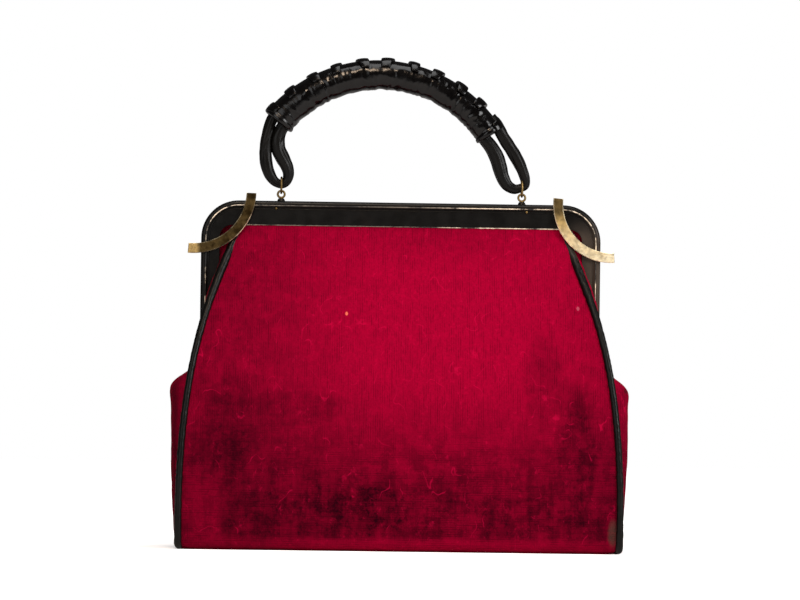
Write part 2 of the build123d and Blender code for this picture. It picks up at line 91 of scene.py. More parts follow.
class SmoothLine:
    """Smooth line through a few chosen points, read by the share of its length."""

    def __init__(self, points: Sequence[Sequence[float]], samples: int = 40) -> None:
        """Samples a Catmull-Rom curve through the points.

        Args:
            points: Points in millimetres, two or three numbers each.
            samples: Samples between two neighbouring points.
        """
        knots = np.array(points, float)
        first, last = 2 * knots[0] - knots[1], 2 * knots[-1] - knots[-2]
        padded = np.vstack([first, knots, last])
        t = np.linspace(0, 1, samples, endpoint=False)[:, None]
        rows = []
        for a, b, c, d in zip(padded, padded[1:], padded[2:], padded[3:]):
            rows.append(0.5 * (2 * b + (c - a) * t + (2 * a - 5 * b + 4 * c - d) * t**2
                               + (3 * b - a - 3 * c + d) * t**3))
        self.track = np.vstack(rows + [knots[-1:]])
        steps = np.linalg.norm(np.diff(self.track, axis=0), axis=1)
        reach = np.concatenate([[0.0], np.cumsum(steps)])
        self.shares = reach / reach[-1]

    def at(self, share: float) -> np.ndarray:
        """Point at a share of the length, from 0 to 1."""
        return np.array([np.interp(share, self.shares, axis) for axis in self.track.T])

    def along(self, share: float) -> np.ndarray:
        """Unit direction of the line at a share of its length."""
        step = self.at(min(share + 0.004, 1.0)) - self.at(max(share - 0.004, 0.0))
        return step / np.linalg.norm(step)

    def across_at(self, height: float) -> float:
        """First coordinate where the last coordinate has this height, on a line that runs down."""
        return float(np.interp(height, self.track[::-1, -1], self.track[::-1, 0]))


@dataclass(frozen=True)
class BagForm:
    """Main form of the bag in millimetres, as in the CAD part."""

    base_half_width: float = 141.7
    narrowing: float = 31.7
    narrow_at: float = 195.0
    narrow_power: float = 2.75
    frame_half_width: float = 127.7
    frame_top: float = 222.0
    rail_bottom: float = 206.4
    piping_radius: float = 2.35
    front_points: tuple = ((5.7, 207.6), (7.0, 200), (16.8, 170), (28.5, 143), (38.6, 107),
                           (43.8, 65), (45, 30), (44.2, 10), (41.6, 2.8), (37.0, 0.5))
    side_points: tuple = ((128.6, 115.6), (131.5, 114.6), (136.4, 110.6), (141.4, 105.8), (143.9, 101.0),
                          (144.4, 92), (144.3, 66), (143.4, 40), (141.8, 18), (140.6, 6), (138.0, 1.2),
                          (134.0, 0.5))

    def half_width(self, z: float) -> float:
        """Half width of the front at the outer edge of its piping."""
        return self.base_half_width - self.narrowing * (max(z, 0.0) / self.narrow_at) ** self.narrow_power

    def front_line(self) -> SmoothLine:
        """Depth and height down the outside of the front."""
        return SmoothLine(self.front_points)

    def side_line(self) -> SmoothLine:
        """Half width and height down the outside of a gusset."""
        return SmoothLine(self.side_points)


FORM = BagForm()
FRONT_LINE = FORM.front_line()
SIDE_LINE = FORM.side_line()


def grain(x: float, y: float, z: float, octaves: int = 2) -> float:
    """Smooth noise from about -1 to 1, the same on each run.

    Args:
        x: First coordinate, in periods of the pattern.
        y: Second coordinate.
        z: Third coordinate, also used as a seed.
        octaves: Number of layers of detail.

    Returns:
        The value of the noise.
    """
    return noise.fractal(Vector((x, y, z)), 1.0, 2.0, octaves)


def bell(distance: float, width: float) -> float:
    """Bell curve of height 1 and this half width."""
    return math.exp(-((distance / width) ** 2))


def rise(distance: float, span: float) -> float:
    """Share from 0 to 1 of a distance within a span."""
    return min(1.0, max(0.0, distance / span))


def between_seams(seam: float, middle: float, share: float) -> float:
    """Half width across a side of the bag, which turns squarely into its seams."""
    return seam + (middle - seam) * (1 - share**8)


def activate(obj: Piece) -> None:
    """Selects one object alone and makes it the active one."""
    if bpy.context.object and bpy.context.object.mode != "OBJECT":
        bpy.ops.object.mode_set(mode="OBJECT")
    bpy.ops.object.select_all(action="DESELECT")
    obj.select_set(True)
    bpy.context.view_layer.objects.active = obj


def edit_whole(obj: Piece) -> None:
    """Opens one object in edit mode with all of its mesh selected."""
    activate(obj)
    bpy.ops.object.mode_set(mode="EDIT")
    bpy.ops.mesh.select_all(action="SELECT")


def join_pieces(pieces: Sequence[Piece], name: str) -> Piece:
    """Joins pieces into the first of them, under a new name."""
    activate(pieces[0])
    for piece in pieces[1:]:
        piece.select_set(True)
    bpy.ops.object.join()
    pieces[0].name = name
    return pieces[0]


def finish_mesh(obj: Piece, smooth_angle: float = SMOOTH_ANGLE) -> None:
    """Turns the normals outwards and smooths edges below an angle in degrees."""
    edit_whole(obj)
    bpy.ops.mesh.normals_make_consistent(inside=False)
    bpy.ops.object.mode_set(mode="OBJECT")
    bpy.ops.object.shade_smooth_by_angle(angle=math.radians(smooth_angle))


def apply_modifier(obj: Piece, kind: str, **settings: object) -> None:
    """Adds a modifier with its settings and applies it."""
    activate(obj)
    modifier = obj.modifiers.new(kind.title(), kind)
    for key, value in settings.items():
        setattr(modifier, key, value)
    bpy.ops.object.modifier_apply(modifier=modifier.name)


def turn_outward(obj: Piece, axis: int, sign: int) -> None:
    """Flips the faces when they look away from one axis direction on the whole.

    Args:
        obj: Mesh object, an open sheet.
        axis: 0, 1 or 2 for X, Y or Z.
        sign: Direction along the axis that the outside looks to.
    """
    total = sum(polygon.normal[axis] * polygon.area for polygon in obj.data.polygons)
    if total * sign < 0:
        obj.data.flip_normals()


def thicken(obj: Piece, thickness: float) -> None:
    """Gives an open sheet its real thickness, inwards from its outside face.

    Args:
        obj: Mesh object whose faces look outwards.
        thickness: Thickness in millimetres.
    """
    apply_modifier(obj, "SOLIDIFY", thickness=thickness * MM, offset=-1.0)
    bpy.ops.object.shade_smooth_by_angle(angle=math.radians(SMOOTH_ANGLE))


def grid_piece(name: str, columns: int, rows: int, place: Placing) -> Piece:
    """Adds a grid and moves each of its points to its place on the piece.

    Args:
        name: Name of the new object.
        columns: Faces along u.
        rows: Faces along v.
        place: Gives the place in millimetres from u and v, each from 0 to 1.

    Returns:
        The new object, with its u and v kept as its UV map.
    """
    bpy.ops.object.select_all(action="DESELECT")
    bpy.ops.mesh.primitive_grid_add(x_subdivisions=columns, y_subdivisions=rows, size=1.0)
    obj = bpy.context.object
    obj.name = name
    obj.data.name = name
    for vertex in obj.data.vertices:
        vertex.co = Vector(place(vertex.co.x + 0.5, vertex.co.y + 0.5)) * MM
    return obj


def sheet_piece(name: str, columns: int, rows: int, place: Placing, axis: int, sign: int,
                thickness: float) -> Piece:
    """Sheet of cloth with its real thickness.

    Args:
        name: Name of the new object.
        columns: Faces along u.
        rows: Faces along v.
        place: Place of its outside face in millimetres from u and v.
        axis: 0, 1 or 2 for the X, Y or Z axis that the outside looks along.
        sign: Direction along that axis.
        thickness: Thickness in millimetres.

    Returns:
        The new object.
    """
    obj = grid_piece(name, columns, rows, place)
    finish_mesh(obj)
    turn_outward(obj, axis, sign)
    thicken(obj, thickness)
    return obj


def close_ends(obj: Piece) -> None:
    """Welds the seam of a rolled grid and fills its open ends, which stay selected in edit mode."""
    edit_whole(obj)
    bpy.ops.mesh.remove_doubles(threshold=WELD)
    bpy.ops.mesh.select_all(action="DESELECT")
    bpy.ops.mesh.select_non_manifold()
    bpy.ops.mesh.edge_face_add()


def tube_piece(name: str, around: int, rows: int, line: SmoothLine, radius: Callable[[float, float], float],
               up: Sequence[float] = (0.0, 1.0, 0.0)) -> Piece:
    """Tube along a line whose radius may change along and around it, with closed ends.

    Args:
        name: Name of the new object.
        around: Faces around the tube.
        rows: Faces along it.
        line: Middle line, in millimetres.
        radius: Radius in millimetres from the angle around, in radians, and the share along.
        up: Direction that angle 0 looks to.

    Returns:
        The new object.
    """
    def place(u: float, v: float) -> np.ndarray:
        along = line.along(v)
        sideways = np.cross(along, up)
        sideways /= np.linalg.norm(sideways)
        out = np.cross(sideways, along)
        angle = 2 * math.pi * u
        size = radius(angle, v)
        return line.at(v) + size * (math.cos(angle) * out + math.sin(angle) * sideways)

    obj = grid_piece(name, around, rows, place)
    close_ends(obj)
    bpy.ops.object.mode_set(mode="OBJECT")
    finish_mesh(obj)
    return obj


def linear(hex_colour: str) -> tuple:
    """Linear RGBA of an sRGB hex colour such as #A3032E."""
    parts = [int(hex_colour[i:i + 2], 16) / 255 for i in (1, 3, 5)]
    return tuple(c / 12.92 if c <= 0.04045 else ((c + 0.055) / 1.055) ** 2.4 for c in parts) + (1.0,)


def add_node(tree: bpy.types.NodeTree, kind: str, settings: Optional[dict] = None,
             links: Optional[dict] = None) -> bpy.types.Node:
    """Adds a node with its settings and links.

    Args:
        tree: Node tree of the material or world.
        kind: Type of the node, such as ShaderNodeTexNoise.
        settings: Values by property name, or by input name or number.
        links: Output sockets by the input name or number that they go to.

    Returns:
        The new node.
    """
    node = tree.nodes.new(kind)
    for key, value in (settings or {}).items():
        if isinstance(key, str) and hasattr(node, key):
            setattr(node, key, value)
        else:
            node.inputs[key].default_value = value
    for key, socket in (links or {}).items():
        tree.links.new(socket, node.inputs[key])
    return node


@dataclass(frozen=True)
class Mark:
    """Soft oval mark on the front of the bag, with its place and half sizes in millimetres."""

    x: float
    z: float
    wide: float
    high: float
    strength: float
    edge: float = 0.8
    colour: str = ""


class Finish:
    """Base of the finishes: one material with a Principled shader."""

    name = "finish"

    def __init__(self) -> None:
        """Makes the material and leaves its shader ready for the subclass."""
        self.material = bpy.data.materials.new(self.name)
        self.material.use_nodes = True
        self.tree = self.material.node_tree
        self.tree.nodes.clear()
        self.shader = add_node(self.tree, "ShaderNodeBsdfPrincipled")
        add_node(self.tree, "ShaderNodeOutputMaterial", links={"Surface": self.shader.outputs[0]})
        self.place = add_node(self.tree, "ShaderNodeTexCoord").outputs["Object"]
        self.build()

    def build(self) -> None:
        """Fills in the nodes; each finish has its own."""

    def mapped(self, scale: Sequence[float], turn: float = 0.0) -> Socket:
        """Object coordinates stretched along the axes and turned about Y."""
        return add_node(self.tree, "ShaderNodeMapping", {"Scale": scale, "Rotation": (0.0, turn, 0.0)},
                        {"Vector": self.place}).outputs[0]

    def cloud(self, size_mm: float, detail: float = 3.0, rough: float = 0.55,
              stretch: Sequence[float] = (1, 1, 1), turn: float = 0.0) -> Socket:
        """Noise whose blobs are about size_mm across."""
        settings = {"Scale": 1.0 / (size_mm * MM), "Detail": detail, "Roughness": rough}
        return add_node(self.tree, "ShaderNodeTexNoise", settings,
                        {"Vector": self.mapped(stretch, turn)}).outputs["Fac"]

    def ramp(self, value: Socket, low: float, high: float, out_low: float = 0.0,
             out_high: float = 1.0) -> Socket:
        """Maps a value from one range to another, with soft ends."""
        return add_node(self.tree, "ShaderNodeMapRange",
                        {"interpolation_type": "SMOOTHSTEP", "From Min": low, "From Max": high,
                         "To Min": out_low, "To Max": out_high}, {"Value": value}).outputs[0]

    def blend(self, factor: Socket, first: object, second: object) -> Socket:
        """Mixes two colours, given as sockets or hex colours."""
        settings: dict = {"data_type": "RGBA"}
        links: dict = {0: factor}
        for slot, colour in ((6, first), (7, second)):
            if isinstance(colour, str):
                settings[slot] = linear(colour)
            else:
                links[slot] = colour
        return add_node(self.tree, "ShaderNodeMix", settings, links).outputs[2]

    def maths(self, operation: str, *values: object) -> Socket:
        """One step of arithmetic on sockets or numbers."""
        settings: dict = {"operation": operation}
        links: dict = {}
        for slot, value in enumerate(values):
            if isinstance(value, (int, float)):
                settings[slot] = float(value)
            else:
                links[slot] = value
        return add_node(self.tree, "ShaderNodeMath", settings, links).outputs[0]

    def chain(self, operation: str, *values: object) -> Socket:
        """The same step of arithmetic from value to value."""
        total = values[0]
        for value in values[1:]:
            total = self.maths(operation, total, value)
        return total

    def times(self, *values: object) -> Socket:
        """Product of sockets or numbers."""
        return self.chain("MULTIPLY", *values)

    def plus(self, *values: object) -> Socket:
        """Sum of sockets or numbers."""
        return self.chain("ADD", *values)

    def most(self, *values: object) -> Socket:
        """Largest of sockets or numbers."""
        return self.chain("MAXIMUM", *values)

    def minus(self, first: object, second: object) -> Socket:
        """Difference of two sockets or numbers."""
        return self.maths("SUBTRACT", first, second)

    def distance(self, value: object, centre: float) -> Socket:
        """How far a value is from a number, either way."""
        return self.maths("ABSOLUTE", self.minus(value, centre))

    def axis(self, name: str) -> Socket:
        """One of the object coordinates, in metres."""
        return add_node(self.tree, "ShaderNodeSeparateXYZ", links={0: self.place}).outputs[name]

    def fade(self, name: str, *limits: float) -> Socket:
        """Soft ramp along one of the object coordinates."""
        return self.ramp(self.axis(name), *limits)

    def front_only(self) -> Socket:
        """1 on the front of the bag, fading to 0 across its sides."""
        return self.fade("Y", -0.004, -0.024)

    def spot(self, mark: Mark) -> Socket:
        """Share of one mark, with a ragged edge."""
        across = self.maths("DIVIDE", self.minus(self.axis("X"), mark.x * MM), mark.wide * MM)
        down = self.maths("DIVIDE", self.minus(self.axis("Z"), mark.z * MM), mark.high * MM)
        reach = self.plus(self.times(across, across), self.times(down, down))
        ragged = self.times(self.minus(self.cloud(max(mark.wide, mark.high) * 0.5), 0.5), 1.2)
        inside = self.ramp(self.plus(reach, ragged), 1.0 - mark.edge, 1.0 + mark.edge, 1.0, 0.0)
        return self.times(inside, self.front_only(), mark.strength)

    def bump(self, height: Socket, depth_mm: float, strength: float = 1.0,
             below: Optional[Socket] = None) -> Socket:
        """Normal from a height field of this depth."""
        links = {"Height": height}
        if below is not None:
            links["Normal"] = below
        return add_node(self.tree, "ShaderNodeBump", {"Strength": strength, "Distance": depth_mm * MM},
                        links).outputs[0]

    def feed(self, **sockets: object) -> None:
        """Links sockets to, or sets values on, the shader; a space in a name is written as _."""
        for key, value in sockets.items():
            slot = self.shader.inputs[key.replace("_", " ")]
            if isinstance(value, Socket):
                self.tree.links.new(value, slot)
            else:
                slot.default_value = value


class CrushedVelvet(Finish):
    """Old crimson cotton velvet: a dense cut pile that looks deep and soft, with crushed, darker patches low
    on the bag, a fine ground weave showing through as lines, and painted shade towards the sides, under the
    rail and on the left gusset."""

    name = "crushed_crimson_velvet"
    lit = "#920027"
    deep = "#5F0018"
    dark = "#1C0008"
    rubbed = "#C0093C"
    sheen = "#F00038"
    weave_mm = 1.45
    bright_x = 0.030
    upright = (1.0, 1.0, 0.13)
    level = (0.13, 1.0, 1.0)
    crushed = (Mark(-108, 68, 17, 38, 0.62), Mark(-64, 27, 36, 20, 0.68), Mark(-26, 27, 56, 21, 0.76),
               Mark(46, 22, 54, 16, 0.66), Mark(113, 52, 18, 50, 0.66), Mark(-72, 88, 44, 12, 0.40),
               Mark(92, 104, 14, 34, 0.32))
    fresh = Mark(-124, 25, 15, 24, 0.8)
    flecks = (Mark(-34.6, 150.2, 0.8, 1.2, 1.0, 0.5, "#C75C48"),
              Mark(112.5, 155.5, 0.9, 1.3, 0.4, 0.5, "#A4586A"),
              Mark(135.0, 13.0, 3.0, 8.0, 0.42, 0.9, "#3E3A30"),
              Mark(143.5, 103.5, 1.6, 1.8, 0.7, 0.5, "#1E0A0E"))

    def build(self) -> None:
        """Pile colour from worn marks, broad and fine patches and painted shade, and a bump for the weave.
        """
        texture = self.crush_pattern()
        threads = self.weave()
        # painted shade: the red deepens towards the sides and under the rail
        colour = self.blend(self.plus(self.painted_side_and_rail_shade(texture), self.times(texture, 0.14)), self.lit, self.deep)
        colour = self.blend(self.wear(texture), colour, self.dark)
        rub = self.ramp(self.cloud(5.5, 8, 0.82, (1.0, 1.0, 0.6), 0.6), 0.57, 0.66)
        colour = self.blend(self.times(rub, 0.30), colour, self.rubbed)
        grainy = self.ramp(self.cloud(1.6, 3, 0.65), 0.30, 0.72)
        colour = self.blend(self.times(grainy, 0.34), colour, self.deep)
        # painted shade on the left gusset, which faces away from the lights
        colour = self.blend(self.shaded_side(), colour, self.dark)
        colour = self.blend(self.times(threads, 0.40), colour, self.dark)
        colour = self.blend(self.times(self.crinkles(), 0.30), colour, self.rubbed)
        for fleck in self.flecks:
            colour = self.blend(self.spot(fleck), colour, fleck.colour)
        nap = self.bump(self.cloud(1.1, 4, 0.7), 0.35, 0.55)
        folds = self.bump(self.cloud(11, 7, 0.70), 2.0, 0.6, nap)
        self.feed(Base_Color=colour, Normal=self.bump(threads, 0.25, 0.5, folds))
        self.feed(Roughness=0.95, Specular_IOR_Level=0.02, Sheen_Weight=0.16, Sheen_Roughness=0.40,
                  Sheen_Tint=linear(self.sheen))

    def crush_pattern(self) -> Socket:
        """Upright, level and shapeless patches of crushed pile, from 0 to 1."""
        upright = self.ramp(self.cloud(5.5, 6, 0.68, self.upright), 0.36, 0.64)
        level = self.ramp(self.cloud(5.5, 6, 0.68, self.level), 0.36, 0.64)
        crush = self.ramp(self.cloud(12, 9, 0.80), 0.44, 0.56)
        return self.plus(self.times(upright, 0.34), self.times(level, 0.22), self.times(crush, 0.44))

    def wear(self, texture: Socket) -> Socket:
        """Share of the dark worn pile: low on the front, in its marks, but not along the hem."""
        height = self.axis("Z")
        worn = self.plus(self.times(self.ramp(height, 0.118, 0.020, 0.0, 0.62), self.front_only()), 0.05)
        for mark in self.crushed:
            worn = self.most(worn, self.spot(mark))
        mottled = self.times(worn, self.plus(self.times(texture, 0.85), 0.66))
        hem = self.minus(1.0, self.ramp(height, 0.011, 0.005, 0.0, 0.70))
        return self.times(mottled, self.minus(1.0, self.spot(self.fresh)), hem)

    def painted_side_and_rail_shade(self, texture: Socket) -> Socket:
        """Share of painted shade: the deeper red towards the sides and under the rail."""
        sides = self.ramp(self.distance(self.axis("X"), self.bright_x), 0.030, 0.150, 0.0, 0.74)
        top = self.fade("Z", 0.176, 0.206, 0.0, 0.34)
        return self.times(self.most(sides, top), self.plus(self.times(texture, 0.5), 0.75))

    def crinkles(self) -> Socket:
        """Thin pale creases in the pile, winding and broken."""
        wander = self.distance(self.cloud(26, 2.4, 0.5, (1.0, 1.0, 0.7), 0.5), 0.5)
        line = self.ramp(wander, 0.001, 0.006, 1.0, 0.0)
        return self.times(line, self.ramp(self.cloud(11, 4), 0.50, 0.60))

    def shaded_side(self) -> Socket:
        """Share of painted shade on the left gusset, which faces away from the lights."""
        normal = add_node(self.tree, "ShaderNodeNewGeometry").outputs["Normal"]
        sideways = add_node(self.tree, "ShaderNodeSeparateXYZ", links={0: normal}).outputs["X"]
        turned = self.ramp(self.maths("ABSOLUTE", sideways), 0.55, 0.85)
        return self.times(turned, self.fade("X", 0.02, -0.02), 0.66)

    def weave(self) -> Socket:
        """Ground weave: thin upright lines above and level ones in the worn lower part, broken by noise."""
        edge = self.plus(self.axis("Z"), self.times(self.cloud(40, 3), 0.08))
        lower = self.ramp(edge, 0.135, 0.085)
        upper = self.minus(1.0, self.times(lower, 0.6))
        lines = []
        for axis, share, stretch in (("X", upper, (1.0, 1.0, 0.2)), ("Z", lower, (0.2, 1.0, 1.0))):
            jitter = self.times(self.cloud(4, 3, 0.6, stretch), 2.4)
            turn = self.times(self.axis(axis), 2 * math.pi / (self.weave_mm * MM))
            wave = self.maths("SINE", self.plus(turn, jitter))
            broken = self.ramp(self.cloud(3.2, 4, 0.7, stretch), 0.42, 0.62)
            lines.append(self.times(self.ramp(wave, -0.1, 1.0), broken, share))
        return self.most(*lines)


class BlackLeather(Finish):
    """Smooth calf leather, aniline black and polished by hands: near black with a clear, slightly broken
    gloss, a fine crease pattern, and a painted grey-brown highlight on the front of the right leg."""

    name = "polished_black_leather"
    dark = "#040302"
    worn = "#0E0A07"
    painted_highlight = "#3A312A"
    gloss = 0.13
    gloss_low = 0.34
    gloss_high = 0.48

    def build(self) -> None:
        """Dark colour with slight wear, a painted grey-brown highlight on the right leg, uneven gloss, pores
        and creases.
        """
        wear = self.ramp(self.cloud(18, 5, 0.65), 0.52, 0.80)
        colour = self.blend(self.times(wear, 0.6), self.dark, self.worn)
        # painted highlight: grey-brown on the front of the right leg, facing the key light
        self.feed(Base_Color=self.blend(self.painted_leg_highlight(), colour, self.painted_highlight))
        self.feed(Roughness=self.ramp(self.cloud(8, 4, 0.6), 0.3, 0.7, self.gloss_low, self.gloss_high))
        pores = add_node(self.tree, "ShaderNodeTexVoronoi", {"Scale": 1.0 / (0.9 * MM)},
                         {"Vector": self.mapped((1, 1, 1))}).outputs["Distance"]
        self.feed(Normal=self.bump(self.cloud(5, 5, 0.65), 0.3, 0.35, self.bump(pores, 0.05, 0.35)))
        self.feed(Specular_IOR_Level=self.gloss, Coat_Weight=0.02, Coat_Roughness=0.15)

    def painted_leg_highlight(self) -> Socket:
        """Share of painted grey-brown highlight on the front of the frame's right leg, where the key light
        glances.
        """
        place = self.times(self.fade("X", 0.103, 0.117), self.fade("Z", 0.216, 0.198))
        leg = self.times(self.fade("Y", -0.013, -0.010), self.fade("Y", 0.000, -0.004))
        return self.times(place, self.ramp(self.cloud(30, 4), 0.25, 0.60, 0.35, 0.95), leg)


class PatentLeather(BlackLeather):
    """The handle's thinner leather, drawn tight and polished until it shines almost like patent."""

    name = "glazed_black_leather"
    dark = "#030202"
    worn = "#090705"
    # the painted highlight colour is just the worn colour here
    painted_highlight = worn
    gloss = 0.20
    gloss_low = 0.11
    gloss_high = 0.24


class WornAndHighlitEdge(Finish):
    """Cut edge of the frame's leather, tan in broken stretches where the black has rubbed off, and more so
    towards the right as a painted highlight.
    """

    name = "rubbed_leather_edge"
    black = "#0D0B0A"
    tan = "#DCCBB4"

    def build(self) -> None:
        """Tan in broken stretches over black, most at the corners from rubbing and on the right as painted
        highlight.
        """
        rubbed = self.ramp(self.cloud(14, 6, 0.75), 0.42, 0.58)
        corner = self.ramp(self.distance(self.axis("X"), 0.0), 0.085, 0.112, 0.14, 1.0)
        # painted highlight: more tan towards the right, where the key light falls
        right = self.fade("X", 0.0, 0.05, 0.0, 0.85)
        share = self.times(rubbed, self.most(corner, right))
        self.feed(Base_Color=self.blend(share, self.black, self.tan), Roughness=0.6, Specular_IOR_Level=0.4)


class OldBrass(Finish):
    """Brass bar and wire that was lacquered and has dulled: brown olive patches over pale gold, brighter
    along the edges of the corner arcs; painted shade darkens the left side and the right arc's top tip, and
    a painted highlight makes the lower right arc pale."""

    name = "dulled_brass_and_painted_light"
    bright = "#FFF0CC"
    gold = "#D9B878"
    patina_and_shade = "#2C2110"
    arcs = ((-1, -133.0, 228.0, 37.0), (1, 134.1, 222.6, 34.0))
    rim_inside = (2.55 * MM, 2.95 * MM)
    rim_outside = (3.6 * MM, 3.3 * MM)

    def build(self) -> None:
        """Patches of darker and paler metal with fine brushing, painted shade on the left and on the right
        arc's tip, a painted highlight low on the right arc, and brighter rims.
        """
        patch = self.ramp(self.cloud(7, 6, 0.65), 0.34, 0.66)
        left = self.fade("X", 0.0, -0.10)
        right = self.fade("X", 0.0, 0.10)
        tip = self.fade("Z", 0.207, 0.219)
        far_left = self.fade("X", -0.1275, -0.1315, 0.0, 0.6)
        # painted shade: the whole left side goes dark, a little less at the far left end
        painted_left_shade = self.times(left, self.minus(self.ramp(patch, 0.0, 1.0, 1.0, 0.93), far_left))
        # painted shade also on the right arc's top tip; the 0.12 floor is a light real patina
        patina_and_shade_share = self.most(painted_left_shade, self.times(right, tip, 0.85), 0.12)
        # painted highlight: the lower right arc goes pale gold on the lit side
        pale = self.times(right, self.fade("Z", 0.212, 0.196))
        metal = self.blend(self.times(pale, self.ramp(patch, 0.0, 1.0, 0.55, 1.0)), self.gold, self.bright)
        metal = self.blend(patina_and_shade_share, metal, self.patina_and_shade)
        self.feed(Base_Color=self.blend(self.rims(), metal, self.bright))
        self.feed(Roughness=self.ramp(self.cloud(3, 4, 0.6), 0.3, 0.7, 0.34, 0.54), Metallic=1.0)
        self.feed(Normal=self.bump(self.cloud(1.2, 4, 0.7), 0.08, 0.5))

    def rims(self) -> Socket:
        """Share of brighter metal along both edges of each corner arc."""
        shares = []
        for sign, x, z, radius in self.arcs:
            across = self.minus(self.axis("X"), x * MM)
            down = self.minus(self.axis("Z"), z * MM)
            reach = self.maths("SQRT", self.plus(self.times(across, across), self.times(down, down)))
            off = self.distance(reach, radius * MM)
            rim = self.times(self.ramp(off, *self.rim_inside), self.ramp(off, *self.rim_outside))
            shares.append(self.times(rim, self.fade("X", sign * 0.05, sign * 0.08)))
        return self.times(self.most(*shares), self.ramp(self.cloud(16, 4), 0.36, 0.60, 0.1, 0.9))


class PlainSteel(Finish):
    """Cold-rolled steel strip of the frame's hidden core, matt grey with faint rolling marks."""

    name = "rolled_steel_strip"

    def build(self) -> None:
        """Grey metal with stretched marks."""
        self.feed(Base_Color=linear("#8E8D8A"), Metallic=1.0)
        self.feed(Roughness=self.ramp(self.cloud(2, 3, 0.6, (0.2, 1, 1)), 0.3, 0.7, 0.3, 0.5))


class LiningCloth(Finish):
    """Plain woven black rayon lining: soft, dark and a little silky."""

    name = "black_rayon_lining"
    twill_mm = 1.2

    def build(self) -> None:
        """Dark cloth with a faint twill bump."""
        slant = self.plus(self.axis("X"), self.axis("Z"))
        twill = self.maths("SINE", self.times(slant, 2 * math.pi / (self.twill_mm * MM)))
        self.feed(Base_Color=self.blend(self.cloud(12), "#0C0A09", "#151210"), Roughness=0.8)
        self.feed(Normal=self.bump(twill, 0.06, 0.5), Sheen_Weight=0.04)


class FibreBoard(Finish):
    """Pressed brown fibre board under the base's cloth."""

    name = "pressed_fibre_board"

    def build(self) -> None:
        """Mottled brown board."""
        self.feed(Base_Color=self.blend(self.cloud(3, 5), "#8A6D4C", "#6B5238"), Roughness=0.85)


class PaleFloor(Finish):
    """Matt white paper sweep under the bag."""

    name = "white_paper_sweep"

    def build(self) -> None:
        """White paper, lifted to white for the camera where no shadow falls."""
        seen = add_node(self.tree, "ShaderNodeLightPath").outputs["Is Camera Ray"]
        reach = add_node(self.tree, "ShaderNodeVectorMath", {"operation": "LENGTH"},
                         {0: self.place}).outputs["Value"]
        lift = self.times(seen, self.ramp(reach, 0.16, 0.75, 0.42, 1.0))
        self.feed(Base_Color=self.blend(self.cloud(60), "#F6F4F3", "#F2F0EF"), Roughness=0.9)
        self.feed(Emission_Color=(1.0, 1.0, 1.0, 1.0), Emission_Strength=lift)


def dress(obj: Piece, finish: Finish) -> None:
    """Gives a piece or a CAD node one finish."""
    obj.data.materials.clear()
    obj.data.materials.append(finish.material)


def register(obj: Piece, finish: Finish, nodes: Sequence[str],
             carrier: Union[str, Face]) -> None:
    """Dresses a piece and says what it stands for and what it moves with.

    Args:
        obj: The piece.
        finish: Its finish.
        nodes: CAD nodes that it stands for.
        carrier: Its body, or its face, for which the transform is only baked into the mesh.
    """
    dress(obj, finish)
    if nodes:
        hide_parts(*nodes)
    if isinstance(carrier, Face):
        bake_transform(obj)
    else:
        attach(obj, carrier)
    log.info("%s: %d faces", obj.name, len(obj.data.polygons))


@dataclass
class VelvetFace:
    """One face of the bag: a stiffened velvet sheet from the top rail to the base."""

    face: Face
    cloth: Finish
    columns: int = 130
    rows: int = 140
    edge_inset: float = 2.6
    thickness: float = 1.6
    belly: float = 1.8
    belly_z: float = 60.0
    broad_wave: float = 1.1
    small_wave: float = 0.35
    seam_dip: float = 0.9
    pucker: float = 0.25
    reach: float = 1.0
    behind: float = 0.0
    part: str = "velvet"
    nodes: tuple = ("panel", "panel_top")
    material_slot: str = "velvet"

    def relief(self, x: float, z: float) -> float:
        """How far the cloth stands out from the plain form, in millimetres."""
        seed = 3.1 if self.face is Face.FRONT else 17.7
        edge = self.half_width(z) - abs(x)
        broad = self.broad_wave * grain(x / 80, z / 65, seed)
        broad += self.small_wave * grain(x / 22, z / 26, seed + 5)
        swell = self.belly * bell(z - self.belly_z, 55) * (1 - (x / 150) ** 2)
        seam = -self.seam_dip * math.exp(-edge / 3.5)
        pucker = self.pucker * math.exp(-edge / 9) * grain(edge / 6, z / 4.5, seed + 9)
        calm = rise(FORM.rail_bottom - z, 14) * rise(z, 6)
        return (broad + swell) * calm * min(1.0, edge / 12) + seam + pucker

    def half_width(self, z: float) -> float:
        """Half width of the cloth itself, which ends under the piping."""
        return FORM.half_width(z) - self.edge_inset

    def place(self, u: float, v: float) -> tuple:
        """Place of a point of the sheet from its share across and down."""
        depth, z = FRONT_LINE.at(v * self.reach)
        step_depth, step_z = FRONT_LINE.along(v * self.reach)
        x = (2 * u - 1) * self.half_width(z)
        out = self.relief(x, z) - self.behind
        return x, self.face.value * (depth - step_z * out), z + step_depth * out

    def build(self) -> None:
        """Builds the sheet, dresses it and bakes its transform into its mesh."""
        obj = sheet_piece(f"{self.face.word}_{self.part}", self.columns, self.rows, self.place,
                          1, self.face.value, self.thickness)
        nodes = [f"{self.face.word}_{node}" for node in self.nodes]
        register(obj, self.cloth, nodes, self.face)


@dataclass
class LiningFace(VelvetFace):
    """Thin lining cloth that hangs close behind one face from the same rail."""

    columns: int = 70
    rows: int = 100
    edge_inset: float = 7.0
    thickness: float = 0.4
    reach: float = 0.955
    behind: float = 2.3
    part: str = "lining_cloth"
    nodes: tuple = ("lining_top",)
    material_slot: str = "lining_cloth"


